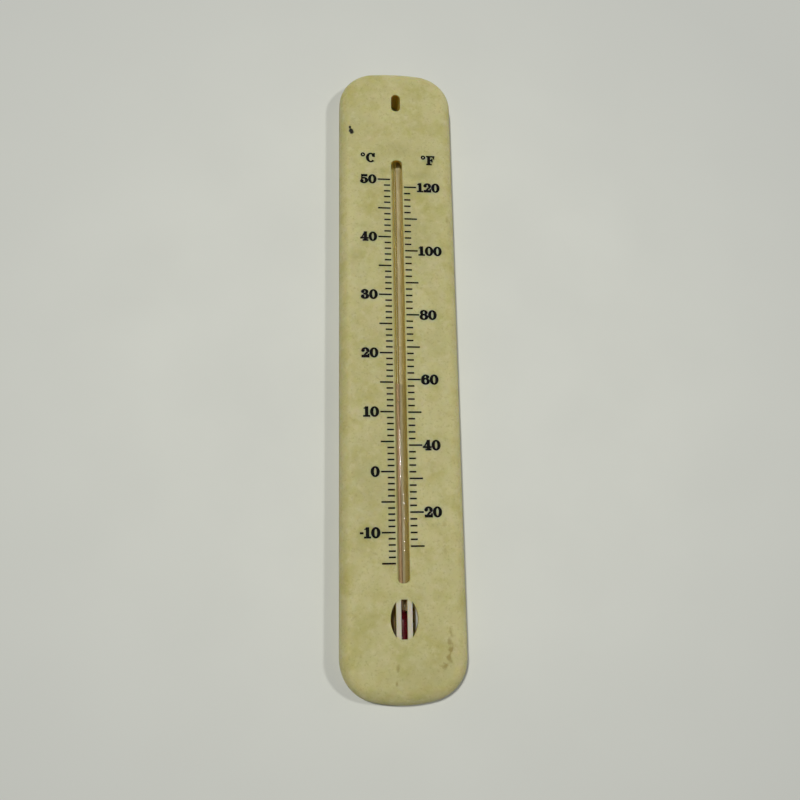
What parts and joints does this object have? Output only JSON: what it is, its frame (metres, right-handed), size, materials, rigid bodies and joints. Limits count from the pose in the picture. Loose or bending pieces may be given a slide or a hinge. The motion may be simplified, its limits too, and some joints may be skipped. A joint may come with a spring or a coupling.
{
  "type": "wall thermometer",
  "caption": "Spirit wall thermometer: slim hollow plastic case with rounded edges, a glass tube behind a long slot, a guarded bulb window and a hanging slot.",
  "frame": {"origin": "middle of the back rim's plane, on the case's centre line, halfway along its length", "axes": "+Z out of the scale face, +Y towards the hanging end, +X to the right seen from the front"},
  "size_m": [0.0392, 0.215, 0.009],
  "materials": {
    "case_plastic": "satin, yellowed with age, slightly translucent",
    "tube_glass": "clear, fire-polished",
    "enamel": "white opal enamel, aged",
    "bulb_spirit": "dark red liquid behind glass",
    "column_spirit": "faded red liquid in a fine bore",
    "cement": "amber set cement",
    "scale_ink": "black printed ink"
  },
  "bodies": {
    "thermometer": {"case": "case_plastic", "glass_stem": "tube_glass", "glass_bulb": "tube_glass", "enamel_strip": "enamel", "spirit_reservoir": "bulb_spirit", "spirit_thread": "column_spirit", "cement_dab_lower": "cement", "cement_dab_middle": "cement", "cement_dab_upper": "cement"},
    "spirit_column": {"spirit_meniscus": "column_spirit"}
  },
  "joints": [
    {"name": "spirit_rise", "type": "slide", "parent": "thermometer", "child": "spirit_column", "axis": [0, 1, 0], "range_m": [-0.0578, 0.0718], "deforming": ["spirit_thread"]}
  ]
}
